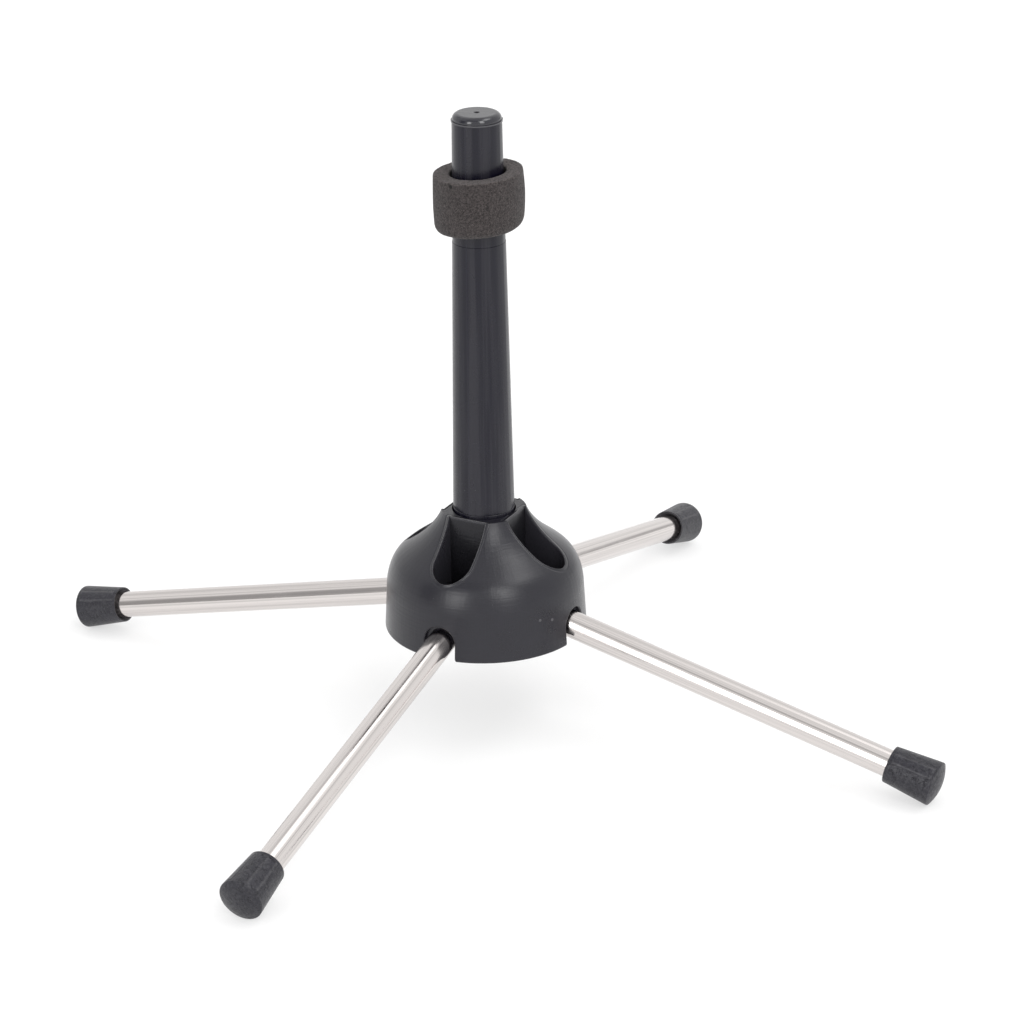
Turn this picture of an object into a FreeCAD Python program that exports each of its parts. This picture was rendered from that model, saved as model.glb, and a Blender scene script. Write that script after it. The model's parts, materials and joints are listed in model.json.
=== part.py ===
"""Folding peg stand for a small wind instrument.

Four steel legs fold down out of a domed hub. A tapered peg screws into the middle of the hub and
carries a foam ring. Millimetres, +Z up. The origin is on the floor, under the middle of the hub.
The front leg lies along -Y and the right leg along +X.
"""
import FreeCAD
import Part

import math
import os

Vector = FreeCAD.Vector

# ---- Driving dimensions -------------------------------------------------------------------------
# Heights in the hub and the peg are counted from the hub's bottom rim.

# Legs
LEG_RADIUS = 4.0
LEG_WALL = 1.0
LEG_SLOPE = math.radians(13.5)      # below the horizontal, when spread
LEG_TAIL = 3.5                      # tube behind the pivot
LEG_LENGTH = 129.8
LEG_EDGE = 0.25                     # broken edges at the tube's ends
LEG_NAMES = {"right": 0, "back": 90, "left": 180, "front": 270}

# Pivots
PIVOT_REACH = 16.0                  # from the stand's axis to the pin
PIVOT_HEIGHT = 7.7
PIN_RADIUS = 1.5
PIN_LENGTH = 11.1
PIN_CHAMFER = 0.3
RUNNING_CLEARANCE = 0.05

# Foot caps
FOOT_LENGTH = 14.0
FOOT_FLOOR = 3.0
FOOT_MOUTH_RADIUS = 5.4
FOOT_END_RADIUS = 6.5
FOOT_DOME = 1.6
FOOT_ROUNDING = 0.4
FOOT_FLARE_RADIUS = 5.1             # the mouth opens out around the leg
FOOT_FLARE_DEPTH = 2.0

# Hub
HUB_RADIUS = 29.7
HUB_HEIGHT = 36.5
BAND_RADIUS = 29.0                  # where the side wall turns into the dome
BAND_HEIGHT = 12.3
COLLAR_RADIUS = 12.4
HUB_WALL = 2.4
CORE_DROP = 1.2                     # the hollows sit lower, which thickens the dome's top
DOME_OUTLINE = [(28.3, 17.3), (26.3, 21.6), (22.6, 25.0), (18.9, 27.9), (15.8, 31.0), (13.6, 34.0)]

# Slots in the dome, and the channels that the legs swing in
SLOT_WIDTH = 11.3
SLOT_INNER = 10.4                   # flat wall beside the peg
SLOT_OUTER = 25.2
CHANNEL_WIDTH = 8.8
CHANNEL_WALL = 2.0
LEDGE_HEIGHT = 8.9                  # top of the snap saddles
SADDLE_THROAT = 2.75
STOP_INNER = 22.0                   # roof that the spread leg rests against
STOP_OUTER = 27.6
STOP_TOP = 13.5
STOP_CLEARANCE = 0.1
ARCH_HALF_WIDTH = 4.85
ARCH_TOP = 10.0

# Socket for the peg
NECK_RADIUS = 6.0
SOCKET_FLOOR = 13.0
COUNTERBORE_RADIUS = 9.35
COUNTERBORE_FLOOR = 33.5
RECESS_RADIUS = 6.0
RECESS_TOP = 10.0

# Peg
PEG_SHOULDER = 34.0                 # just above the floor of the hub's counterbore
PEG_BASE_RADIUS = 8.95
PEG_BASE_TOP = 38.0                 # the taper starts here
PEG_EDGE = 0.4
LINE_HEIGHT = 37.4                  # fine line turned round the base
LINE_DEPTH = 0.15
STEP_HEIGHT = 118.2
STEP_RISE = 0.1
STEP_LOWER_RADIUS = 7.65
STEP_UPPER_RADIUS = 7.55
PEG_TOP = 153.2
PEG_TOP_RADIUS = 7.1
PEG_BORE_RADIUS = 5.3
PEG_BORE_FLOOR = 42.5
THREAD_PITCH = 2.0
THREAD_DEPTH = 0.7
THREAD_SHARE = 0.4                  # half the groove's width as a share of the pitch
THREAD_RUNOUT = 0.2                 # groove cutter beyond the neck's skin
NECK_CHAMFER = 0.8
THREAD_TOP = 30.0
THREAD_BOTTOM = 16.0

# Peg cap
LIP_RADIUS = 7.32
LIP_THICKNESS = 0.45
PLUG_TOP = 155.6
PLUG_SIDE_RADIUS = 7.0
PLUG_EDGE_ROUNDING = 1.7
PLUG_DEPTH = 8.0
PLUG_LEAD = 0.3                     # the plug's lower end is narrower by this
PLUG_LEAD_LENGTH = 1.0
DIMPLE_RADIUS = 0.9
DIMPLE_DEPTH = 0.6

# Foam ring
RING_RADIUS = 12.85
RING_BORE_RADIUS = 7.8
RING_BOTTOM = 121.9
RING_HEIGHT = 16.8
RING_ROUNDING = 2.0

# Roundings
SLOT_ROUNDING = 0.45
ARCH_ROUNDING = 0.4
ARCH_FOOT_ROUNDING = 1.2
ARCH_FOOT_SINK = 0.3                # the feet's roundings end this far below the rim
RIM_ROUNDING = 0.6
TOUCHING = 0.001

UP = Vector(0, 0, 1)
BELOW = -1.0                        # cutters start below the rim
ABOVE = 60.0                        # end above the dome
BEYOND = HUB_RADIUS + 5             # and end outside the skirt

# The feet stand on the floor, so the slope and length of the legs set the hub's height.
FOOT_END_DISTANCE = LEG_LENGTH - LEG_TAIL + FOOT_FLOOR
FOOT_DROP = FOOT_END_DISTANCE * math.sin(LEG_SLOPE) + FOOT_END_RADIUS * math.cos(LEG_SLOPE)
HUB_BASE = FOOT_DROP - PIVOT_HEIGHT


# ---- Helpers ------------------------------------------------------------------------------------
def revolve_outline(edges):
    """Turn a closed outline in the XZ plane once around the Z axis."""
    face = Part.Face(Part.Wire(edges))
    return face.revolve(Vector(0, 0, 0), UP, 360)


def polygon_edges(points):
    """Edges of the closed polygon through (radius, height) points in the XZ plane."""
    corners = [Vector(radius, 0, height) for radius, height in points]
    return [Part.makeLine(a, b) for a, b in zip(corners, corners[1:] + corners[:1])]


def cylinder(radius, bottom, top):
    """Upright cylinder on the Z axis."""
    return Part.makeCylinder(radius, top - bottom, Vector(0, 0, bottom), UP)


def block(inner, outer, width, bottom, top):
    """Box along +X from inner to outer, centred on Y."""
    return Part.makeBox(outer - inner, width, top - bottom, Vector(inner, -width / 2, bottom))


def turned(shape, degrees):
    """Copy of a shape, turned about the Z axis."""
    copy = shape.copy()
    copy.rotate(Vector(0, 0, 0), UP, degrees)
    return copy


def is_circle(edge, radius):
    """Whether an edge is as long as a full circle of the given radius."""
    return abs(edge.Length - 2 * math.pi * radius) < TOUCHING


def cut_around(solid, cutter):
    """Cut the same pocket once for every leg."""
    for degrees in LEG_NAMES.values():
        solid = solid.cut(turned(cutter, degrees))
    return solid


def place_leg_piece(shape, degrees):
    """Move a piece modelled along +X from the pivot to its spread position."""
    copy = shape.copy()
    copy.rotate(Vector(0, 0, 0), Vector(0, 1, 0), math.degrees(LEG_SLOPE))
    copy.translate(Vector(PIVOT_REACH, 0, PIVOT_HEIGHT))
    return turned(copy, degrees)


def leg_axis_height(reach):
    """Height of the spread leg's axis at a distance from the stand's axis."""
    return PIVOT_HEIGHT - (reach - PIVOT_REACH) * math.tan(LEG_SLOPE)


# ---- Hub ----------------------------------------------------------------------------------------
def dome_outline(inset):
    """Side wall and dome as one open run of edges, set inwards by inset."""
    foot = Vector(HUB_RADIUS - inset, 0, 0)
    shoulder = Vector(BAND_RADIUS - inset, 0, BAND_HEIGHT)
    collar = Vector(COLLAR_RADIUS - inset, 0, HUB_HEIGHT)
    middle = [Vector(radius - inset, 0, height) for radius, height in DOME_OUTLINE]
    curve = Part.BSplineCurve()
    curve.interpolate(Points=[shoulder] + middle + [collar])
    return [Part.makeLine(foot, shoulder), curve.toShape()]


def hub_blank():
    """Solid bell with a rounded rim."""
    edges = dome_outline(0)
    edges.append(Part.makeLine(Vector(COLLAR_RADIUS, 0, HUB_HEIGHT), Vector(0, 0, HUB_HEIGHT)))
    edges.append(Part.makeLine(Vector(0, 0, HUB_HEIGHT), Vector(0, 0, 0)))
    edges.append(Part.makeLine(Vector(0, 0, 0), Vector(HUB_RADIUS, 0, 0)))
    bell = revolve_outline(edges)
    rim = [edge for edge in bell.Edges if is_circle(edge, HUB_RADIUS)]
    return bell.makeFillet(RIM_ROUNDING, rim)


def cored_sectors():
    """Hollows under the dome, between the walls of the leg channels."""
    outline = dome_outline(HUB_WALL)
    for edge in outline:
        edge.translate(Vector(0, 0, -CORE_DROP))
    start = outline[0].Vertexes[0].Point
    end = outline[-1].Vertexes[-1].Point
    outline.append(Part.makeLine(end, Vector(0, 0, end.z)))
    outline.append(Part.makeLine(Vector(0, 0, end.z), Vector(0, 0, start.z)))
    outline.append(Part.makeLine(Vector(0, 0, start.z), start))
    core = revolve_outline(outline)
    width = SLOT_WIDTH + 2 * CHANNEL_WALL
    core = core.cut(block(-BEYOND, BEYOND, width, 2 * BELOW, ABOVE))
    core = core.cut(turned(block(-BEYOND, BEYOND, width, 2 * BELOW, ABOVE), 90))
    flat = block(-BEYOND, BEYOND, 2 * BEYOND, COUNTERBORE_FLOOR - HUB_WALL, ABOVE)
    return core.cut(flat)


def slot_cutter():
    """Opening in the dome above a leg, with a rounded outer end."""
    round_centre = SLOT_OUTER - SLOT_WIDTH / 2
    slot = block(SLOT_INNER, round_centre, SLOT_WIDTH, STOP_TOP, ABOVE)
    end = cylinder(SLOT_WIDTH / 2, STOP_TOP, ABOVE)
    end.translate(Vector(round_centre, 0, 0))
    lower = block(SLOT_INNER, STOP_INNER, SLOT_WIDTH, LEDGE_HEIGHT, STOP_TOP)
    return slot.fuse([end, lower]).removeSplitter()


def channel_cutter():
    """Space that a leg swings through, roofed by a saddle that follows the spread leg."""
    points = [(SLOT_INNER, BELOW), (BEYOND, BELOW), (BEYOND, leg_axis_height(BEYOND)),
              (STOP_INNER, leg_axis_height(STOP_INNER)), (STOP_INNER, LEDGE_HEIGHT),
              (SLOT_INNER, LEDGE_HEIGHT)]
    face = Part.Face(Part.Wire(polygon_edges(points)))
    face.translate(Vector(0, -CHANNEL_WIDTH / 2, 0))
    swing = face.extrude(Vector(0, CHANNEL_WIDTH, 0))
    along = Vector(math.cos(LEG_SLOPE), 0, -math.sin(LEG_SLOPE))
    start = Vector(PIVOT_REACH, 0, PIVOT_HEIGHT)
    saddle = Part.makeCylinder(LEG_RADIUS + STOP_CLEARANCE, BEYOND - PIVOT_REACH, start, along)
    return swing.fuse(saddle)


def arch_cutter():
    """Rounded opening in the hub's rim, with rounded corners at its foot."""
    centre = ARCH_TOP - ARCH_HALF_WIDTH
    wide = ARCH_HALF_WIDTH + ARCH_FOOT_ROUNDING
    bend = ARCH_FOOT_ROUNDING * (1 - math.sqrt(0.5))

    def point(side, height):
        return Vector(STOP_OUTER, side, height)

    edges = [Part.makeLine(point(-wide, BELOW), point(wide, BELOW)),
             Part.Arc(point(ARCH_HALF_WIDTH, centre), point(0, ARCH_TOP),
                      point(-ARCH_HALF_WIDTH, centre)).toShape()]
    for sign in (-1, 1):
        foot = point(sign * wide, -ARCH_FOOT_SINK)
        corner = point(sign * (ARCH_HALF_WIDTH + bend), bend - ARCH_FOOT_SINK)
        above = point(sign * ARCH_HALF_WIDTH, ARCH_FOOT_ROUNDING - ARCH_FOOT_SINK)
        edges.append(Part.makeLine(point(sign * wide, BELOW), foot))
        edges.append(Part.Arc(foot, corner, above).toShape())
        edges.append(Part.makeLine(above, point(sign * ARCH_HALF_WIDTH, centre)))
    face = Part.Face(Part.Wire(Part.sortEdges(edges)[0]))
    return face.extrude(Vector(BEYOND - STOP_OUTER, 0, 0))


def pin_saddle_cutter():
    """Cross groove for a pivot pin, with a snap throat narrower than the pin."""
    start = Vector(PIVOT_REACH, -SLOT_WIDTH / 2, PIVOT_HEIGHT)
    radius = PIN_RADIUS + RUNNING_CLEARANCE
    groove = Part.makeCylinder(radius, SLOT_WIDTH, start, Vector(0, 1, 0))
    inner = PIVOT_REACH - SADDLE_THROAT / 2
    outer = PIVOT_REACH + SADDLE_THROAT / 2
    throat = block(inner, outer, SLOT_WIDTH, PIVOT_HEIGHT, STOP_TOP)
    return groove.fuse(throat)


def edges_on_both(solid, skin, cutter):
    """Edges of a solid whose middles lie on a skin and on one of the four turned cutters."""
    cutters = [turned(cutter, degrees) for degrees in LEG_NAMES.values()]
    shells = [Part.Compound(piece.Faces) for piece in cutters]
    outside = Part.Compound(skin.Faces)
    edges = []
    for edge in solid.Edges:
        middle = Part.Vertex(edge.valueAt((edge.FirstParameter + edge.LastParameter) / 2))
        on_cutter = any(shell.distToShape(middle)[0] < TOUCHING for shell in shells)
        if on_cutter and outside.distToShape(middle)[0] < TOUCHING:
            edges.append(edge)
    return edges


def make_hub():
    blank = hub_blank()
    hub = blank.cut(cored_sectors())
    hub = hub.cut(cylinder(NECK_RADIUS + RUNNING_CLEARANCE, SOCKET_FLOOR, ABOVE))
    hub = hub.cut(cylinder(COUNTERBORE_RADIUS, COUNTERBORE_FLOOR, ABOVE))
    hub = hub.cut(cylinder(RECESS_RADIUS, BELOW, RECESS_TOP))
    for cutter, rounding in ((slot_cutter(), SLOT_ROUNDING), (arch_cutter(), ARCH_ROUNDING)):
        hub = cut_around(hub, cutter)
        hub = hub.makeFillet(rounding, edges_on_both(hub, blank, cutter))
    hub = cut_around(hub, channel_cutter())
    return cut_around(hub, pin_saddle_cutter())


# ---- Legs ---------------------------------------------------------------------------------------
def make_leg():
    """Steel tube along +X, with its cross hole at the origin."""
    start = Vector(-LEG_TAIL, 0, 0)
    outer = Part.makeCylinder(LEG_RADIUS, LEG_LENGTH, start, Vector(1, 0, 0))
    outer = outer.makeChamfer(LEG_EDGE, outer.Edges)
    inner = Part.makeCylinder(LEG_RADIUS - LEG_WALL, LEG_LENGTH, start, Vector(1, 0, 0))
    across = Vector(0, -2 * LEG_RADIUS, 0)
    hole = Part.makeCylinder(PIN_RADIUS, 4 * LEG_RADIUS, across, Vector(0, 1, 0))
    return outer.cut(inner).cut(hole)


def make_pin():
    """Cross pin along Y, through the origin."""
    start = Vector(0, -PIN_LENGTH / 2, 0)
    pin = Part.makeCylinder(PIN_RADIUS, PIN_LENGTH, start, Vector(0, 1, 0))
    ends = [edge for edge in pin.Edges if is_circle(edge, PIN_RADIUS)]
    return pin.makeChamfer(PIN_CHAMFER, ends)


def make_foot_cap():
    """Tapered cap with a domed end, its open mouth towards the pivot."""
    mouth = FOOT_END_DISTANCE - FOOT_LENGTH
    end = FOOT_END_DISTANCE
    bore_end = LEG_LENGTH - LEG_TAIL
    flare_end = mouth + FOOT_FLARE_DEPTH
    points = [(FOOT_FLARE_RADIUS, mouth), (FOOT_MOUTH_RADIUS, mouth), (FOOT_END_RADIUS, end)]
    corners = [Vector(radius, 0, reach) for radius, reach in points]
    edges = [Part.makeLine(a, b) for a, b in zip(corners, corners[1:])]
    crown = Vector(0, 0, end + FOOT_DOME)
    sphere = (FOOT_END_RADIUS ** 2 + FOOT_DOME ** 2) / (2 * FOOT_DOME)
    half_angle = math.asin(FOOT_END_RADIUS / sphere) / 2
    centre = end + FOOT_DOME - sphere
    half_way = Vector(sphere * math.sin(half_angle), 0, centre + sphere * math.cos(half_angle))
    edges.append(Part.Arc(corners[-1], half_way, crown).toShape())
    inside = [crown, Vector(0, 0, bore_end), Vector(LEG_RADIUS, 0, bore_end),
              Vector(LEG_RADIUS, 0, flare_end), corners[0]]
    edges.extend(Part.makeLine(a, b) for a, b in zip(inside, inside[1:]))
    cap = revolve_outline(edges)
    rim = [edge for edge in cap.Edges if is_circle(edge, FOOT_END_RADIUS)]
    cap = cap.makeFillet(FOOT_ROUNDING, rim)
    cap.rotate(Vector(0, 0, 0), Vector(0, 1, 0), 90)
    return cap


# ---- Peg ----------------------------------------------------------------------------------------
def make_peg():
    """Tapered tube with a small step, a base shoulder and a threaded neck."""
    points = [(PEG_BORE_RADIUS, PEG_BORE_FLOOR), (PEG_BORE_RADIUS, PEG_TOP),
              (PEG_TOP_RADIUS, PEG_TOP), (STEP_UPPER_RADIUS, STEP_HEIGHT + STEP_RISE),
              (STEP_LOWER_RADIUS, STEP_HEIGHT), (PEG_BASE_RADIUS, PEG_BASE_TOP),
              (PEG_BASE_RADIUS, LINE_HEIGHT + LINE_DEPTH),
              (PEG_BASE_RADIUS - LINE_DEPTH, LINE_HEIGHT),
              (PEG_BASE_RADIUS, LINE_HEIGHT - LINE_DEPTH), (PEG_BASE_RADIUS, PEG_SHOULDER + PEG_EDGE),
              (PEG_BASE_RADIUS - PEG_EDGE, PEG_SHOULDER), (NECK_RADIUS, PEG_SHOULDER),
              (NECK_RADIUS, SOCKET_FLOOR + NECK_CHAMFER), (NECK_RADIUS - NECK_CHAMFER, SOCKET_FLOOR),
              (0, SOCKET_FLOOR), (0, PEG_BORE_FLOOR)]
    peg = revolve_outline(polygon_edges(points))
    helix = Part.makeHelix(THREAD_PITCH, THREAD_TOP - THREAD_BOTTOM, NECK_RADIUS)
    helix.translate(Vector(0, 0, THREAD_BOTTOM))
    half = THREAD_PITCH * THREAD_SHARE
    outside = NECK_RADIUS + THREAD_RUNOUT
    root = NECK_RADIUS - THREAD_DEPTH
    tooth = [(root, THREAD_BOTTOM), (outside, THREAD_BOTTOM + half), (outside, THREAD_BOTTOM - half)]
    profile = Part.Wire(polygon_edges(tooth))
    groove = Part.Wire(helix.Edges).makePipeShell([profile], True, True)
    return peg.cut(groove)


def make_peg_cap():
    """Plug with a thin lip and a rounded top."""
    side_top = PLUG_TOP - PLUG_EDGE_ROUNDING
    flat = PLUG_SIDE_RADIUS - PLUG_EDGE_ROUNDING
    bottom = PEG_TOP - PLUG_DEPTH
    points = [(0, PLUG_TOP - DIMPLE_DEPTH), (0, bottom), (PEG_BORE_RADIUS - PLUG_LEAD, bottom),
              (PEG_BORE_RADIUS, bottom + PLUG_LEAD_LENGTH),
              (PEG_BORE_RADIUS, PEG_TOP), (LIP_RADIUS, PEG_TOP), (LIP_RADIUS, PEG_TOP + LIP_THICKNESS),
              (PLUG_SIDE_RADIUS, PEG_TOP + LIP_THICKNESS), (PLUG_SIDE_RADIUS, side_top)]
    corners = [Vector(radius, 0, height) for radius, height in points]
    edges = [Part.makeLine(a, b) for a, b in zip(corners, corners[1:])]
    diagonal = PLUG_EDGE_ROUNDING * math.sqrt(0.5)
    bend = Vector(flat + diagonal, 0, side_top + diagonal)
    edges.append(Part.Arc(corners[-1], bend, Vector(flat, 0, PLUG_TOP)).toShape())
    top = [Vector(flat, 0, PLUG_TOP), Vector(DIMPLE_RADIUS, 0, PLUG_TOP), corners[0]]
    edges.extend(Part.makeLine(a, b) for a, b in zip(top, top[1:]))
    return revolve_outline(edges)


def make_foam_ring():
    """Thick ring with rounded outer edges."""
    top = RING_BOTTOM + RING_HEIGHT
    ring = cylinder(RING_RADIUS, RING_BOTTOM, top)
    ring = ring.makeFillet(RING_ROUNDING, [edge for edge in ring.Edges if is_circle(edge, RING_RADIUS)])
    return ring.cut(cylinder(RING_BORE_RADIUS, RING_BOTTOM, top))


# ---- Export -------------------------------------------------------------------------------------
def export(name, shape):
    """Stand the piece on the floor frame and write it."""
    placed = shape.copy()
    placed.translate(Vector(0, 0, HUB_BASE))
    assert placed.isValid(), name
    assert len(placed.Solids) == 1, name
    placed.exportStep("parts/" + name + ".step")


os.makedirs("parts", exist_ok=True)
export("hub_shell", make_hub())
export("peg_tube", make_peg())
export("peg_cap", make_peg_cap())
export("foam_ring", make_foam_ring())
leg_pieces = {"leg_tube": make_leg(), "pivot_pin": make_pin(), "foot_cap": make_foot_cap()}
for side, degrees in LEG_NAMES.items():
    for piece, shape in leg_pieces.items():
        export(piece + "_" + side, place_leg_piece(shape, degrees))
print("hub base", HUB_BASE)
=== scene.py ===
"""Finishes of a folding four-legged peg stand for a small wind instrument.

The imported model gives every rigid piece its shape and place. This script gives those pieces their
moulded plastic and polished steel, makes the foam ring, and sets up the studio. Lengths in metres.
"""

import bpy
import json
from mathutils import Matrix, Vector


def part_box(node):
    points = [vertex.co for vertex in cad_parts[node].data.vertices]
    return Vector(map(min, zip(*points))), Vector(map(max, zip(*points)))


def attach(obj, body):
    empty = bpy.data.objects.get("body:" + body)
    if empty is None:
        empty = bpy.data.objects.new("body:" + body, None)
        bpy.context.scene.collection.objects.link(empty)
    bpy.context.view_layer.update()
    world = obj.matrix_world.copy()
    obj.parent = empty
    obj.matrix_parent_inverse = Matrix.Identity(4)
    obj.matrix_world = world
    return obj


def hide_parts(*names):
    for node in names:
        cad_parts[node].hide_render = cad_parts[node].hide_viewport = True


bl_info = {
    "name": "Folding Wind Instrument Stand",
    "version": (1, 0, 0),
    "blender": (4, 5, 0),
    "location": "3D View > Sidebar > Stand",
    "description": "Finishes, foam ring and studio for a folding peg stand",
    "category": "Object",
}

import json
import math

import bmesh
import bpy
from bpy.props import FloatProperty, FloatVectorProperty, PointerProperty
from mathutils import Quaternion, Vector, noise

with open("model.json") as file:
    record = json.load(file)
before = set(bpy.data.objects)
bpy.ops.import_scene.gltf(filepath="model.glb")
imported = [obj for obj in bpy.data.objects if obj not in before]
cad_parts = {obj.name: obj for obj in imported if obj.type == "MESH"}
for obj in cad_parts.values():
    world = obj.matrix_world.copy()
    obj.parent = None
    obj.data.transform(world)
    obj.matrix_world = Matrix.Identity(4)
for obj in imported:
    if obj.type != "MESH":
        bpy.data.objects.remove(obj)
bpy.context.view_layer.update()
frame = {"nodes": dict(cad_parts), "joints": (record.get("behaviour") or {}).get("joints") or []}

MM = 0.001
SIDES = {"right": 0, "back": 90, "left": 180, "front": 270}
RING_LOW, RING_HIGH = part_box("foam_ring")
HUB_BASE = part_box("hub_shell")[0].z
PEG_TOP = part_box("peg_tube")[1].z
LEG_SLOPE = math.radians(13.5)

# The surface maths is in millimetres. Heights on the hub are measured from its rim.
SKIRT_RADIUS = 29.5
SKIRT_TOP = 13.6
SLOT_HALF_WIDTH = 5.65
SLOT_END = 19.55  # centre of a slot's round outer end
SLOT_WALL = 10.4  # a slot's flat wall, beside the peg
COLLAR_TOP = 36.3
GATES = ((-29.8, 11.2), (-21.2, 10.2))  # turn in degrees, and height
CAP_CROWN = 2.35  # the peg cap's flat top, above the peg
DIMPLE_RADIUS = 0.95
FOOT_START = 115.3  # a foot cap's mouth, from the leg's pivot
FOOT_RADIUS = 6.2
FOOT_MOUTH_RADIUS = 5.35
RIB_TURN = 0.66  # a foot cap's two ribs, in radians to either side of its top
NICK_TURN = math.radians(-98.8)  # a small nick under the foam's top edge

# Pale colour for worn skin and gate marks, and for painted highlights and painted light.
WEAR_AND_PAINTED_LIGHT = (0.085, 0.083, 0.090, 1.0)
DUST = (0.20, 0.20, 0.21, 1.0)
# Near-black colour of painted shade in recesses.
UNLIT = (0.005, 0.005, 0.006, 1.0)

FOAM_GRID = 0.36 * MM  # spacing of the foam's points round its outline
FOAM_STEPS = 224


def joint_named(name):
    """The frame's joint of that name."""
    for joint in frame["joints"]:
        if joint["name"] == name:
            return joint
    raise LookupError(name)


# ---- Shader maths -------------------------------------------------------------------------------
class Value:
    """A number on its way through a node tree. Arithmetic on it adds Math nodes."""

    def __init__(self, graph, socket):
        self.graph = graph
        self.socket = socket

    def math(self, operation, *others):
        return self.graph.node("ShaderNodeMath", {"operation": operation}, [self, *others])

    def __add__(self, other):
        return self.math("ADD", other)

    __radd__ = __add__

    def __mul__(self, other):
        return self.math("MULTIPLY", other)

    __rmul__ = __mul__

    def __sub__(self, other):
        return self.math("SUBTRACT", other)

    def __rsub__(self, other):
        return self.graph.node("ShaderNodeMath", {"operation": "SUBTRACT"}, [other, self])

    def __truediv__(self, other):
        return self.math("DIVIDE", other)

    def __abs__(self):
        return self.math("ABSOLUTE")

    def hypotenuse(self, other):
        return (self * self + other * other).math("SQRT")

    def least(self, other):
        return self.math("MINIMUM", other)

    def most(self, other):
        return self.math("MAXIMUM", other)

    def between(self, start, end):
        """0 at start, 1 at end and smooth in between. End may be below start."""
        if start < end:
            return self.graph.node(
                "ShaderNodeMapRange", {"interpolation_type": "SMOOTHSTEP"}, [self, start, end])
        return 1.0 - self.between(end, start)

    def near(self, centre, width):
        """1 at centre, falling smoothly to 0 at width on either side."""
        return abs(self - centre).between(width, 0.0)


class Graph:
    """The node tree of one material or world."""

    def __init__(self, tree):
        self.tree = tree
        tree.nodes.clear()

    def node(self, kind, settings=None, inputs=None, output=0):
        """Add a node, set it up, fill its sockets in order or by name, and return one output."""
        made = self.tree.nodes.new(kind)
        for name, setting in (settings or {}).items():
            setattr(made, name, setting)
        if isinstance(inputs, dict):
            pairs = inputs.items()
        else:
            pairs = enumerate(inputs or [])
        for key, value in pairs:
            if isinstance(value, Value):
                self.tree.links.new(value.socket, made.inputs[key])
            elif value is not None:
                made.inputs[key].default_value = value
        return Value(self, made.outputs[output]) if made.outputs else None

    def place(self):
        """Position in millimetres, in the piece's own frame."""
        local = self.node("ShaderNodeTexCoord", output="Object")
        return self.vector("SCALE", local, scale=1.0 / MM)

    def vector(self, operation, *vectors, scale=None, output=0):
        inputs = dict(enumerate(vectors))
        if scale is not None:
            inputs["Scale"] = scale
        return self.node("ShaderNodeVectorMath", {"operation": operation}, inputs, output)

    def along(self, vector, direction):
        """Length of a vector along a fixed direction."""
        return self.vector("DOT_PRODUCT", vector, tuple(direction), output="Value")

    def coordinates(self, place):
        return [self.along(place, axis) for axis in ((1, 0, 0), (0, 1, 0), (0, 0, 1))]

    def combine(self, *lengths):
        """Vector with the given coordinates."""
        return self.node("ShaderNodeCombineXYZ", {}, lengths)

    def noise(self, place, scale, detail=2.0, roughness=0.5, distortion=0.0):
        return self.node(
            "ShaderNodeTexNoise", {},
            {"Vector": place, "Scale": scale, "Detail": detail, "Roughness": roughness,
             "Distortion": distortion})

    def cells(self, place, scale):
        """Distance to the nearest of many scattered points."""
        return self.node(
            "ShaderNodeTexVoronoi", {}, {"Vector": place, "Scale": scale}, "Distance")

    def blend(self, factor, first, second):
        """Colour that goes from first to second."""
        return self.node(
            "ShaderNodeMix", {"data_type": "RGBA"}, {0: factor, 6: first, 7: second}, 2)

    def bump(self, height):
        """Normal of a surface whose relief is a height in millimetres."""
        return self.node(
            "ShaderNodeBump", {}, {"Strength": 1.0, "Distance": MM, "Height": height})

    def surface(self, **sockets):
        """Principled surface of the material, with its sockets given by name."""
        named = {name.replace("_", " "): value for name, value in sockets.items()}
        shader = self.node("ShaderNodeBsdfPrincipled", {}, named)
        self.node("ShaderNodeOutputMaterial", {}, {"Surface": shader})


def new_material(name):
    material = bpy.data.materials.new(name)
    material.use_nodes = True
    return material, Graph(material.node_tree)


def shade(colour, factor):
    """A colour made lighter or darker, with its alpha kept at 1."""
    return tuple(min(channel * factor, 1.0) for channel in colour[:3]) + (1.0,)


def paint(names, material):
    """Put a material on CAD pieces."""
    for name in names:
        slots = frame["nodes"][name].material_slots
        if not slots:
            raise RuntimeError(name + " has no material slot")
        for slot in slots:
            slot.material = material


# ---- Moulded plastic ----------------------------------------------------------------------------
def moulded_grain(graph, place, grain):
    """Fine skin of a moulded piece: eroded grain with broad, very shallow waves."""
    fine = graph.noise(place, 4.5, 2.0, 0.6)
    waves = graph.noise(place, 0.12, 1.0)
    return fine * (grain * 0.012) + waves * 0.05


def dust(graph, place):
    """Sparse pale specks, a few tenths of a millimetre across."""
    where = graph.noise(place, 0.09, 1.0).between(0.56, 0.70)
    return graph.cells(place, 0.30).between(0.055, 0.03) * where


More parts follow.
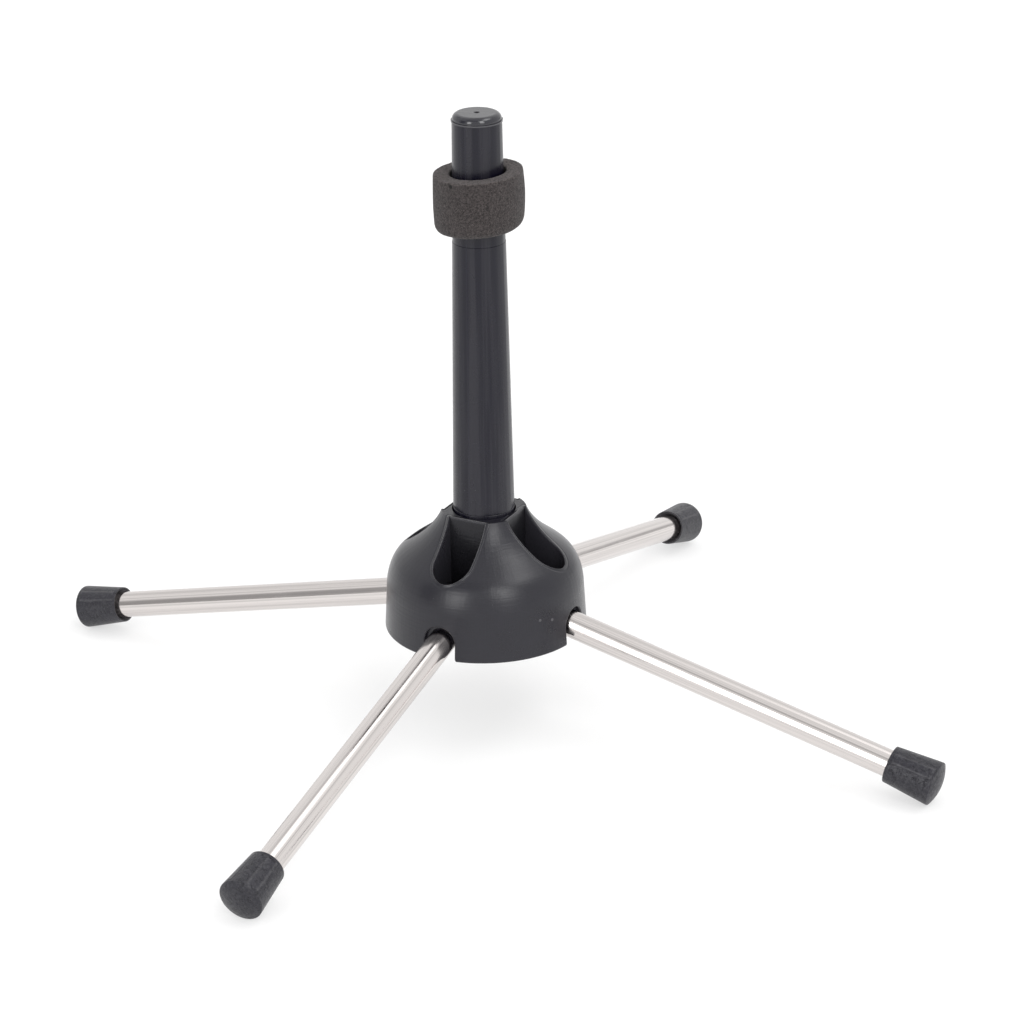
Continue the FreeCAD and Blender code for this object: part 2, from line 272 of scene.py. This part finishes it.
def plastic_surface(graph, place, finish, relief, marks=None, pale=None, unlit=None):
    """Dark moulded plastic. Relief is in millimetres. Marks are 1 where the skin is scuffed, pale
    is 1 where the colour is made paler for wear or as painted light, and unlit is 1 where a recess
    gets painted shade."""
    cloud = graph.noise(place, 0.16, 3.0, 0.55, 0.4)
    smudge = graph.noise(place, 0.045, 2.0)
    tone = graph.blend(cloud, shade(finish.colour, 0.86), shade(finish.colour, 1.16))
    tone = graph.blend(dust(graph, place) * 0.5, tone, DUST)
    rough = finish.roughness + (cloud - 0.5) * 0.07 + (smudge - 0.5) * 0.10
    if marks is not None:
        tone = graph.blend(marks * 0.5, tone, shade(finish.colour, 3.0))
        rough = rough + marks * 0.12
    # Paler for wear, and for painted highlights and painted light.
    if pale is not None:
        tone = graph.blend(pale, tone, WEAR_AND_PAINTED_LIGHT)
    sockets = {}
    if unlit is not None:
        # Painted shade: the colour goes nearly black, and a metal of nearly no colour reflects less
        # than the plastic's clear skin does.
        tone = graph.blend(unlit, tone, UNLIT)
        sockets["Metallic"] = unlit
    height = moulded_grain(graph, place, finish.grain) + relief
    graph.surface(
        Base_Color=tone, Roughness=rough, IOR=1.49, Specular_IOR_Level=finish.shine,
        Normal=graph.bump(height), **sockets)


def slot_distance(x, y):
    """Distance outwards from the edge of the nearest of the four slots in the dome, in plan."""
    along = abs(x).most(abs(y))
    across = abs(x).least(abs(y))
    from_side = (along - SLOT_END).most(0.0).hypotenuse(across) - SLOT_HALF_WIDTH
    return from_side.most(SLOT_WALL - along)


def hub_material(finish):
    """Hub plastic, with a bead round each slot that carries a painted highlight, painted light in
    the slots, painted shade on their flat walls, two gate marks, and faint flow lines that run up
    the skirt and round the dome."""
    material, graph = new_material("hub_plastic_moulded")
    place = graph.place()
    x, y, z = graph.coordinates(place)
    height = z - HUB_BASE / MM
    reach = x.hypotenuse(y)
    angle = y.math("ARCTAN2", x)
    on_top = height.between(SKIRT_TOP, SKIRT_TOP + 0.6)
    gates = None
    for turn, level in GATES:
        across = (angle - math.radians(turn)) * SKIRT_RADIUS
        gate = across.hypotenuse(height - level).between(0.55, 0.25) * reach.between(27.0, 28.0)
        gates = gate if gates is None else gates.most(gate)
    upright = graph.noise(
        graph.combine(angle * 17.0, height * 0.05, reach * 0.12), 1.0, 4.0, 0.65)
    around = graph.noise(graph.combine(angle * 1.3, height * 1.6, reach * 1.6), 1.0, 3.0, 0.6)
    rim = slot_distance(x, y)
    bead = rim.near(0.45, 0.42) * on_top
    groove = rim.near(1.15, 0.35) * on_top
    relief = upright * 0.05 + around * 0.055 + gates * 0.08 + bead * 0.34 - groove * 0.12
    # Painted highlight along the bead round each slot.
    painted_highlight = rim.near(0.32, 0.34) * on_top * 0.9
    # Painted light: the slots' walls are made paler than their shade.
    painted_slot_light = rim.between(0.12, 0.02) * on_top * 0.20
    # Painted shade on the flat wall beside the peg in each slot, near the collar's top.
    between_sides = abs(x).least(abs(y)).between(5.9, 5.5)
    flat_wall = abs(x).most(abs(y)).near(SLOT_WALL, 0.3) * between_sides
    flat_wall = flat_wall * height.between(COLLAR_TOP, COLLAR_TOP - 0.7)
    plastic_surface(
        graph, place, finish, relief, gates * 0.8, painted_highlight.most(gates * 0.8).most(painted_slot_light),
        flat_wall * 0.45)
    return material


def peg_material(finish):
    """Peg plastic, with soft lengthwise streaks, painted highlights along them, and two parting
    lines.
    """
    material, graph = new_material("peg_plastic_moulded")
    place = graph.place()
    x, y, z = graph.coordinates(place)
    angle = y.math("ARCTAN2", x)
    streaks = graph.noise(graph.combine(x * 0.34, y * 0.34, z * 0.008), 1.0, 3.0, 0.6)
    parting = abs(abs(angle) - math.pi / 2).between(0.035, 0.012)
    relief = streaks * 0.06 + parting * 0.03
    # Painted highlights along the lighter streaks.
    painted_highlight = streaks.between(0.42, 0.66) * 0.16
    plastic_surface(graph, place, finish, relief, parting * 0.3, painted_highlight)
    return material


def cap_material(finish):
    """Glossy plastic of the plug in the top of the peg, with a painted highlight round its lip and
    painted shade in the dimple in its crown.
    """
    material, graph = new_material("cap_plastic_glossy")
    place = graph.place()
    x, y, z = graph.coordinates(place)
    height = z - PEG_TOP / MM
    swirl = graph.noise(place, 0.35, 3.0, 0.6, 1.2)
    # Painted highlight round the lip.
    lip = height.near(0.25, 0.3)
    # Painted shade in the dimple in the crown.
    dimple = x.hypotenuse(y).between(DIMPLE_RADIUS, DIMPLE_RADIUS - 0.15)
    dimple = dimple * height.between(CAP_CROWN, CAP_CROWN - 0.15)
    plastic_surface(graph, place, finish, swirl * 0.05, None, lip * 0.5, dimple * 0.85)
    return material


def leg_axes(side):
    """Along the spread leg, across it, and square to both, as three unit vectors."""
    turn = math.radians(SIDES[side])
    outwards = Vector((math.cos(turn), math.sin(turn), 0.0))
    across = Vector((-math.sin(turn), math.cos(turn), 0.0))
    along = outwards * math.cos(LEG_SLOPE) - Vector((0, 0, math.sin(LEG_SLOPE)))
    return along, across, across.cross(along) * -1.0


def leg_place(graph, side):
    """Position along, across and above the leg's axis, in millimetres from its pivot."""
    pivot = Vector(joint_named("leg_fold_" + side)["pos_m"]) / MM
    away = graph.vector("SUBTRACT", graph.place(), tuple(pivot))
    return [graph.along(away, axis) for axis in leg_axes(side)]


def foot_material(finish, side):
    """Foot cap plastic, with a leathery skin, two flat lengthwise ribs with painted highlights on
    their crests, a small round ejector mark, painted shade in its dents and painted light in its
    mouth."""
    material, graph = new_material("foot_plastic_" + side)
    along, across, above = leg_place(graph, side)
    place = graph.combine(along, across, above)
    far = along - FOOT_START
    angle = across.math("ARCTAN2", above)
    body = far.between(0.6, 1.4) * far.between(13.6, 12.6)
    from_rib = abs(abs(angle) - RIB_TURN)
    rib = from_rib.between(0.36, 0.23) * body
    # Painted highlights along the ribs' crests.
    crest = from_rib.near(0.25, 0.09) * body
    # Painted light in the mouth.
    mouth = across.hypotenuse(above).between(FOOT_MOUTH_RADIUS, FOOT_MOUTH_RADIUS - 0.3)
    mouth = mouth * far.between(4.5, 3.0)
    ejector = (far - 9.5).hypotenuse((angle - 0.1) * FOOT_RADIUS).near(1.0, 0.35)
    skin = graph.noise(place, 0.8, 4.0, 0.6)
    scuffs = graph.noise(place, 1.3, 3.0, 0.7).between(0.46, 0.62)
    dents = graph.noise(place, 1.0, 4.0, 0.7, 0.8).between(0.52, 0.66)
    relief = rib * 0.30 + ejector * 0.06 + skin * 0.16 - dents * 0.10
    # Paler with scuffs, which are wear, and with the painted highlights and painted light.
    pale = (crest * 0.36 + scuffs * 0.24).most(mouth)
    # Painted shade in the dents.
    plastic_surface(
        graph, place, finish, relief, rib * 0.12 + ejector * 0.2, pale, dents * 0.30)
    return material


# ---- Steel --------------------------------------------------------------------------------------
def tube_material(finish, side):
    """Polished drawn tube: lengthwise lines, faint smudges and a slightly dulled skin."""
    material, graph = new_material("polished_steel_" + side)
    along, across, above = leg_place(graph, side)
    lines = graph.noise(graph.combine(along * 0.004, across * 1.9, above * 1.9), 1.0, 4.0, 0.65)
    hairs = graph.noise(graph.combine(along * 0.02, across * 9.0, above * 9.0), 1.0, 2.0)
    smudge = graph.noise(
        graph.combine(along * 0.06, across * 0.2, above * 0.2), 1.0, 3.0, 0.6, 0.5)
    tone = graph.blend(
        lines.between(0.34, 0.56), shade(finish.colour, 0.80), shade(finish.colour, 1.03))
    rough = finish.roughness + (lines - 0.5) * 0.08 + smudge.between(0.5, 0.75) * 0.08
    graph.surface(
        Base_Color=tone, Metallic=1.0, Roughness=rough,
        Normal=graph.bump(lines * 0.010 + hairs * 0.004))
    return material


def pin_material(finish):
    """Plain steel pin, with turning lines around it."""
    material, graph = new_material("pin_steel_turned")
    place = graph.place()
    lines = graph.noise(place, 6.0, 2.0)
    stain = graph.noise(place, 0.7, 3.0)
    tone = graph.blend(stain, shade(finish.colour, 0.62), shade(finish.colour, 0.86))
    graph.surface(
        Base_Color=tone, Metallic=1.0, Roughness=0.32 + stain * 0.12,
        Normal=graph.bump(lines * 0.01))
    return material


# ---- Foam ring ----------------------------------------------------------------------------------
def rounded_outline(corners, spacing):
    """Evenly spaced points round a closed outline of (radius, height, rounding) corners."""
    path = []
    count = len(corners)
    for index, (radius, height, rounding) in enumerate(corners):
        here = Vector((radius, height))
        before = Vector(corners[index - 1][:2])
        after = Vector(corners[(index + 1) % count][:2])
        start = here + (before - here).normalized() * rounding
        end = here + (after - here).normalized() * rounding
        for step in range(9):
            t = step / 8
            path.append(start * (1 - t) ** 2 + here * 2 * t * (1 - t) + end * t ** 2)
    path.append(path[0].copy())
    points = []
    carried = 0.0
    for a, b in zip(path, path[1:]):
        length = (b - a).length
        while carried < length:
            points.append(a.lerp(b, carried / length))
            carried += spacing
        carried -= length
    return points


def outline_normals(points):
    """Outward normals of a closed outline that runs anticlockwise."""
    normals = []
    for index in range(len(points)):
        along = points[(index + 1) % len(points)] - points[index - 1]
        normals.append(Vector((along.y, -along.x)).normalized())
    return normals


def pore_depth(position, size):
    """How deep the foam's skin sinks into an open pore here, from 0 to 1."""
    depth = 0.0
    for scale, reach in ((1.0, 0.34), (0.55, 0.30)):
        distance = noise.voronoi(position / (size * scale))[0][0]
        depth = max(depth, 1.0 - distance / reach)
    return max(depth, 0.0) ** 0.7


def ring_mesh(foam):
    """Foam ring with open pores, a crisp top edge and a softer bottom edge."""
    outer = foam.outer_radius
    bore = foam.bore_radius
    bottom = RING_LOW.z
    top = RING_HIGH.z
    corners = [
        (bore, bottom, 0.7 * MM), (outer - 0.2 * MM, bottom, foam.bottom_rounding),
        (outer, (bottom + top) / 2, 5.0 * MM), (outer - 0.05 * MM, top, foam.top_rounding),
        (bore, top, 0.6 * MM),
    ]
    outline = rounded_outline(corners, FOAM_GRID)
    normals = outline_normals(outline)
    lean = math.tan(foam.lean)
    towards = Vector((math.cos(foam.lean_azimuth), math.sin(foam.lean_azimuth), 0.0))
    mesh = bmesh.new()
    layer = mesh.verts.layers.float.new("pore_depth")
    rings = []
    for step in range(FOAM_STEPS):
        turn = math.tau * step / FOAM_STEPS
        outwards = Vector((math.cos(turn), math.sin(turn), 0.0))
        ring = []
        swell = foam.swell * (1 + outwards.dot(towards)) / 2
        for point, normal in zip(outline, normals):
            level = (point.y - bottom) / (top - bottom)
            fuller = swell * 4 * level * (1 - level) * (point.x - bore) / (outer - bore)
            position = outwards * (point.x + fuller) + Vector((0, 0, point.y))
            direction = outwards * normal.x + Vector((0, 0, normal.y))
            depth = pore_depth(position, foam.pore_size)
            wobble = noise.noise(position / (5.0 * MM)) * 0.12 * MM
            grit = noise.noise(position / (0.5 * MM)) * 0.05 * MM
            sink = depth * foam.pore_size * 0.22 + 0.12 * MM
            position += direction * (wobble + grit - sink)
            position.z += position.dot(towards) * lean
            vertex = mesh.verts.new(position)
            vertex[layer] = depth
            ring.append(vertex)
        rings.append(ring)
    count = len(outline)
    for step in range(FOAM_STEPS):
        here = rings[step]
        after = rings[(step + 1) % FOAM_STEPS]
        for index in range(count):
            follow = (index + 1) % count
            mesh.faces.new((here[index], after[index], after[follow], here[follow]))
    bmesh.ops.recalc_face_normals(mesh, faces=mesh.faces)
    for face in mesh.faces:
        face.smooth = True
    data = bpy.data.meshes.new("foam_ring_open_cell")
    mesh.to_mesh(data)
    mesh.free()
    return data


def foam_material(foam):
    """Matt open-cell foam, with painted shade in its pores and in one nick, and painted light on
    its top.
    """
    material, graph = new_material("foam_open_cell")
    place = graph.place()
    towards = Vector((math.cos(foam.lean_azimuth), math.sin(foam.lean_azimuth), 0.0))
    slant = math.tan(foam.lean)
    below_top = RING_HIGH.z / MM - graph.along(place, Vector((0, 0, 1)) - towards * slant)
    nick_place = Vector((math.cos(NICK_TURN), math.sin(NICK_TURN), 0.0))
    nick_place *= foam.outer_radius / MM
    nick_place.z = RING_HIGH.z / MM - 1.0 + nick_place.dot(towards) * slant
    nick = graph.vector("DISTANCE", place, tuple(nick_place), output="Value").between(0.75, 0.35)
    pits = graph.node(
        "ShaderNodeAttribute", {"attribute_name": "pore_depth"}, {}, "Fac")
    fine = graph.cells(place, 1.7).between(0.40, 0.16)
    patches = graph.noise(place, 0.35, 3.0, 0.6)
    dirt = graph.noise(place, 2.2, 3.0, 0.65)
    grain = graph.noise(place, 1.9, 4.0, 0.75)
    side = graph.blend(patches, shade(foam.colour, 0.88), shade(foam.colour, 1.10))
    # Painted light: the top is a lighter copy of the side's colour.
    top = graph.blend(patches, shade(foam.colour, 1.6), shade(foam.colour, 2.1))
    tone = graph.blend(below_top.between(0.55, 0.2), side, top)
    tone = graph.blend(dirt.between(0.48, 0.60) * 0.7, tone, shade(foam.colour, 1.75))
    tone = graph.blend(grain.between(0.52, 0.42) * 0.75, tone, shade(foam.colour, 0.32))
    # Painted shade in the pores, small and large.
    tone = graph.blend(fine * 0.6, tone, shade(foam.colour, 0.3))
    tone = graph.blend(pits.between(0.05, 0.8) * 0.7, tone, shade(foam.colour, 0.25))
    # Painted shade in the nick.
    tone = graph.blend(nick, tone, shade(foam.colour, 0.05))
    graph.surface(
        Base_Color=tone, Roughness=0.94, Specular_IOR_Level=0.15, Sheen_Weight=0.10,
        Sheen_Roughness=0.6, Normal=graph.bump(dirt * 0.12 + grain * 0.25 - fine * 0.16))
    return material


# ---- Studio -------------------------------------------------------------------------------------
def heading(azimuth, elevation):
    """Unit vector. Azimuth 0 is -Y, and 90 is +X."""
    level = math.cos(elevation)
    return Vector((math.sin(azimuth) * level, -math.cos(azimuth) * level, math.sin(elevation)))


# The soft panels round the stand: azimuth, elevation, half width and half height in degrees, the
# softness of their edges, and how much they add to the dome or, for a grey card, take from it.
PANELS = (
    (-8, 20, 8, 17, 4, 3.9),
    (53, 28, 8, 27, 5, 0.9),
    (53, 39, 8, 17, 5, 3.3),
    (110, 63, 14, 9, 6, 3.2),
    (161, 63, 9, 9, 5, 0.8),
    (-137, 48, 12, 6, 5, 0.25),
    (-2, 60, 22, 7, 5, -0.45),
    (-43, 16, 11, 21, 5, -0.6),
    (159, 2, 7, 5, 3, -0.45),
    (-112, 37, 7, 7, 4, -0.25),
    (-161, 62, 7, 8, 4, -0.25),
)


def tangent(degrees):
    return math.tan(math.radians(degrees))


def build_world(studio):
    """Pale dome with soft panels."""
    world = bpy.data.worlds.new("studio_dome")
    bpy.context.scene.world = world
    world.use_nodes = True
    graph = Graph(world.node_tree)
    direction = graph.node("ShaderNodeTexCoord", output="Generated")
    light = None
    for azimuth, elevation, half_width, half_height, softness, gain in PANELS:
        centre = heading(math.radians(azimuth), math.radians(elevation))
        right = Vector((-centre.y, centre.x, 0.0)).normalized()
        up = centre.cross(right)
        ahead = graph.along(direction, centre).most(0.001)
        across = abs(graph.along(direction, right) / ahead)
        above = abs(graph.along(direction, up) / ahead)
        panel = across.between(tangent(half_width + softness), tangent(half_width - softness))
        panel = panel * above.between(
            tangent(half_height + softness), tangent(half_height - softness))
        panel = panel * (gain * studio.panel_strength)
        light = panel if light is None else light + panel
    light = light + studio.dome_strength
    shader = graph.node("ShaderNodeBackground", {}, {"Color": (1, 1, 1, 1), "Strength": light})
    graph.node("ShaderNodeOutputWorld", {}, {"Surface": shader})


def floor_material(studio):
    """Pale matt paper on a lit table, so that shadows on it are faint."""
    material, graph = new_material("floor_paper")
    place = graph.place()
    cloud = graph.noise(place, 0.004, 2.0)
    tooth = graph.noise(place, 1.5, 2.0)
    tone = graph.blend(cloud, shade(studio.floor_colour, 0.99), shade(studio.floor_colour, 1.0))
    graph.surface(
        Base_Color=tone, Roughness=0.85, Specular_IOR_Level=0.2,
        Emission_Color=(1, 1, 1, 1), Emission_Strength=studio.table_strength,
        Normal=graph.bump(tooth * 0.02))
    return material


def build_floor(studio):
    mesh = bmesh.new()
    bmesh.ops.create_circle(mesh, cap_ends=True, radius=8.0, segments=96)
    data = bpy.data.meshes.new("floor")
    mesh.to_mesh(data)
    mesh.free()
    floor = bpy.data.objects.new("floor", data)
    floor.data.materials.append(floor_material(studio))
    bpy.context.scene.collection.objects.link(floor)


def build_camera(studio):
    camera = bpy.data.objects.new("camera", bpy.data.cameras.new("camera"))
    bpy.context.scene.collection.objects.link(camera)
    back = heading(studio.camera_azimuth, studio.camera_elevation)
    camera.location = Vector(studio.camera_aim) + back * studio.camera_distance
    camera.rotation_mode = "QUATERNION"
    facing = (-back).to_track_quat("-Z", "Y")
    camera.rotation_quaternion = facing @ Quaternion((0, 0, 1), studio.camera_roll)
    camera.data.lens = studio.camera_lens
    camera.data.clip_start = 0.01
    camera.data.clip_end = 50.0
    bpy.context.scene.camera = camera


# ---- Settings -----------------------------------------------------------------------------------
def colour_setting(name, description, default):
    return FloatVectorProperty(
        name=name, description=description, default=default, size=3, min=0.0, max=1.0,
        subtype="COLOR")


def share_setting(name, description, default):
    return FloatProperty(
        name=name, description=description, default=default, min=0.0, max=1.0, subtype="FACTOR")


def length_setting(name, description, default):
    return FloatProperty(
        name=name, description=description, default=default, min=0.0, unit="LENGTH",
        subtype="DISTANCE", precision=4)


def angle_setting(name, description, degrees):
    return FloatProperty(
        name=name, description=description, default=math.radians(degrees), subtype="ANGLE",
        unit="ROTATION")


class HubFinish(bpy.types.PropertyGroup):
    colour: colour_setting("Colour", "Plastic of the hub", (0.0102, 0.0097, 0.0150))
    roughness: share_setting("Roughness", "How matt the hub is", 0.29)
    shine: share_setting("Shine", "How strongly the hub reflects", 0.48)
    grain: share_setting("Grain", "Depth of the moulded grain", 0.35)


class PegFinish(bpy.types.PropertyGroup):
    colour: colour_setting("Colour", "Plastic of the peg", (0.0032, 0.0028, 0.0090))
    roughness: share_setting("Roughness", "How matt the peg is", 0.27)
    shine: share_setting("Shine", "How strongly the peg reflects", 0.38)
    grain: share_setting("Grain", "Depth of the moulded grain", 0.3)


class CapFinish(bpy.types.PropertyGroup):
    colour: colour_setting("Colour", "Plastic of the peg's cap", (0.0045, 0.0045, 0.0105))
    roughness: share_setting("Roughness", "How matt the cap is", 0.11)
    shine: share_setting("Shine", "How strongly the cap reflects", 0.80)
    grain: share_setting("Grain", "Depth of the moulded grain", 0.1)


class FootFinish(bpy.types.PropertyGroup):
    colour: colour_setting("Colour", "Plastic of the foot caps", (0.0135, 0.0128, 0.0190))
    roughness: share_setting("Roughness", "How matt the foot caps are", 0.36)
    shine: share_setting("Shine", "How strongly the foot caps reflect", 0.44)
    grain: share_setting("Grain", "Depth of the moulded grain", 0.5)


class SteelFinish(bpy.types.PropertyGroup):
    colour: colour_setting("Colour", "Steel of the legs", (0.695, 0.655, 0.637))
    roughness: share_setting("Roughness", "How dull the legs are", 0.12)


class FoamShape(bpy.types.PropertyGroup):
    colour: colour_setting("Colour", "Foam of the ring", (0.0500, 0.0425, 0.0418))
    outer_radius: length_setting(
        "Outer radius", "Outside of the ring", (RING_HIGH.x - RING_LOW.x) / 2)
    bore_radius: length_setting("Bore radius", "Hole for the peg", 7.9 * MM)
    top_rounding: length_setting("Top edge", "Rounding of the upper outer edge", 0.25 * MM)
    bottom_rounding: length_setting("Bottom edge", "Rounding of the lower outer edge", 3.0 * MM)
    swell: length_setting("Swell", "How far the ring's fuller side bulges", 0.55 * MM)
    pore_size: length_setting("Pore size", "Spacing of the larger pores", 0.80 * MM)
    lean: angle_setting("Lean", "How far the ring's ends slant", 3.6)
    lean_azimuth: angle_setting("Lean azimuth", "Towards which side its ends rise", 27.4)


class Studio(bpy.types.PropertyGroup):
    floor_colour: colour_setting("Floor", "Paper under the stand", (0.42, 0.42, 0.42))
    table_strength: FloatProperty(
        name="Table", description="Light from under the paper", default=0.56, min=0.0)
    dome_strength: FloatProperty(
        name="Dome", description="Light from all round", default=1.0, min=0.0)
    panel_strength: FloatProperty(
        name="Panels", description="Gain of all the soft panels", default=1.0, min=0.0)
    camera_azimuth: angle_setting("Azimuth", "Camera's direction from the stand", 27.398)
    camera_elevation: angle_setting("Elevation", "Camera's height as an angle", 22.764)
    camera_roll: angle_setting("Roll", "Camera's turn about its own axis", -0.872)
    camera_distance: length_setting("Distance", "From the camera to its aim", 1.01239)
    camera_aim: FloatVectorProperty(
        name="Aim", description="Point that the camera looks at", size=3, unit="LENGTH",
        subtype="XYZ", default=(0.00723, 0.00375, 0.06370))
    camera_lens: FloatProperty(
        name="Lens", description="Focal length in millimetres", default=122.08, min=1.0,
        subtype="DISTANCE_CAMERA")


# ---- Operators ----------------------------------------------------------------------------------
class FinishHub(bpy.types.Operator):
    """Give the hub its moulded plastic"""

    bl_idname = "stand.finish_hub"
    bl_label = "Finish hub"

    def execute(self, context):
        paint(["hub_shell"], hub_material(context.scene.stand_hub))
        return {"FINISHED"}


class FinishPeg(bpy.types.Operator):
    """Give the peg and its cap their plastics"""

    bl_idname = "stand.finish_peg"
    bl_label = "Finish peg"

    def execute(self, context):
        paint(["peg_tube"], peg_material(context.scene.stand_peg))
        paint(["peg_cap"], cap_material(context.scene.stand_cap))
        return {"FINISHED"}


class FinishLegs(bpy.types.Operator):
    """Give the leg tubes and their pivot pins their steel"""

    bl_idname = "stand.finish_legs"
    bl_label = "Finish legs"

    def execute(self, context):
        steel = context.scene.stand_steel
        for side in SIDES:
            paint(["leg_tube_" + side], tube_material(steel, side))
        paint(["pivot_pin_" + side for side in SIDES], pin_material(steel))
        return {"FINISHED"}


class FinishFeet(bpy.types.Operator):
    """Give the foot caps their plastic"""

    bl_idname = "stand.finish_feet"
    bl_label = "Finish feet"

    def execute(self, context):
        for side in SIDES:
            paint(["foot_cap_" + side], foot_material(context.scene.stand_foot, side))
        return {"FINISHED"}


class BuildFoamRing(bpy.types.Operator):
    """Make the foam ring on the peg"""

    bl_idname = "stand.build_foam_ring"
    bl_label = "Build foam ring"

    def execute(self, context):
        foam = context.scene.stand_foam
        ring = bpy.data.objects.new("foam_ring_soft", ring_mesh(foam))
        ring.data.materials.append(foam_material(foam))
        context.scene.collection.objects.link(ring)
        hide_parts("foam_ring")
        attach(ring, "ring")
        return {"FINISHED"}


class BuildStudio(bpy.types.Operator):
    """Set up the floor, the light and the camera"""

    bl_idname = "stand.build_studio"
    bl_label = "Build studio"

    def execute(self, context):
        studio = context.scene.stand_studio
        build_world(studio)
        build_floor(studio)
        build_camera(studio)
        context.scene.view_settings.view_transform = "Standard"
        return {"FINISHED"}


class StandPanel(bpy.types.Panel):
    """Sidebar panel of the stand"""

    bl_idname = "VIEW3D_PT_stand"
    bl_label = "Wind Instrument Stand"
    bl_space_type = "VIEW_3D"
    bl_region_type = "UI"
    bl_category = "Stand"

    def draw(self, context):
        for operator, settings in STEPS:
            box = self.layout.box()
            box.operator(operator.bl_idname)
            for name in settings:
                group = getattr(context.scene, name)
                for setting in group.__annotations__:
                    box.prop(group, setting)


STEPS = (
    (FinishHub, ("stand_hub",)),
    (FinishPeg, ("stand_peg", "stand_cap")),
    (FinishLegs, ("stand_steel",)),
    (FinishFeet, ("stand_foot",)),
    (BuildFoamRing, ("stand_foam",)),
    (BuildStudio, ("stand_studio",)),
)
SETTINGS = {
    "stand_hub": HubFinish,
    "stand_peg": PegFinish,
    "stand_cap": CapFinish,
    "stand_foot": FootFinish,
    "stand_steel": SteelFinish,
    "stand_foam": FoamShape,
    "stand_studio": Studio,
}
CLASSES = (*SETTINGS.values(), *(operator for operator, settings in STEPS), StandPanel)


def register():
    for item in CLASSES:
        bpy.utils.register_class(item)
    for name, group in SETTINGS.items():
        setattr(bpy.types.Scene, name, PointerProperty(type=group))


def unregister():
    for name in SETTINGS:
        delattr(bpy.types.Scene, name)
    for item in reversed(CLASSES):
        bpy.utils.unregister_class(item)


def main():
    register()
    bpy.ops.stand.finish_hub()
    bpy.ops.stand.finish_peg()
    bpy.ops.stand.finish_legs()
    bpy.ops.stand.finish_feet()
    bpy.ops.stand.build_foam_ring()
    bpy.ops.stand.build_studio()


if __name__ == "__main__":
    main()
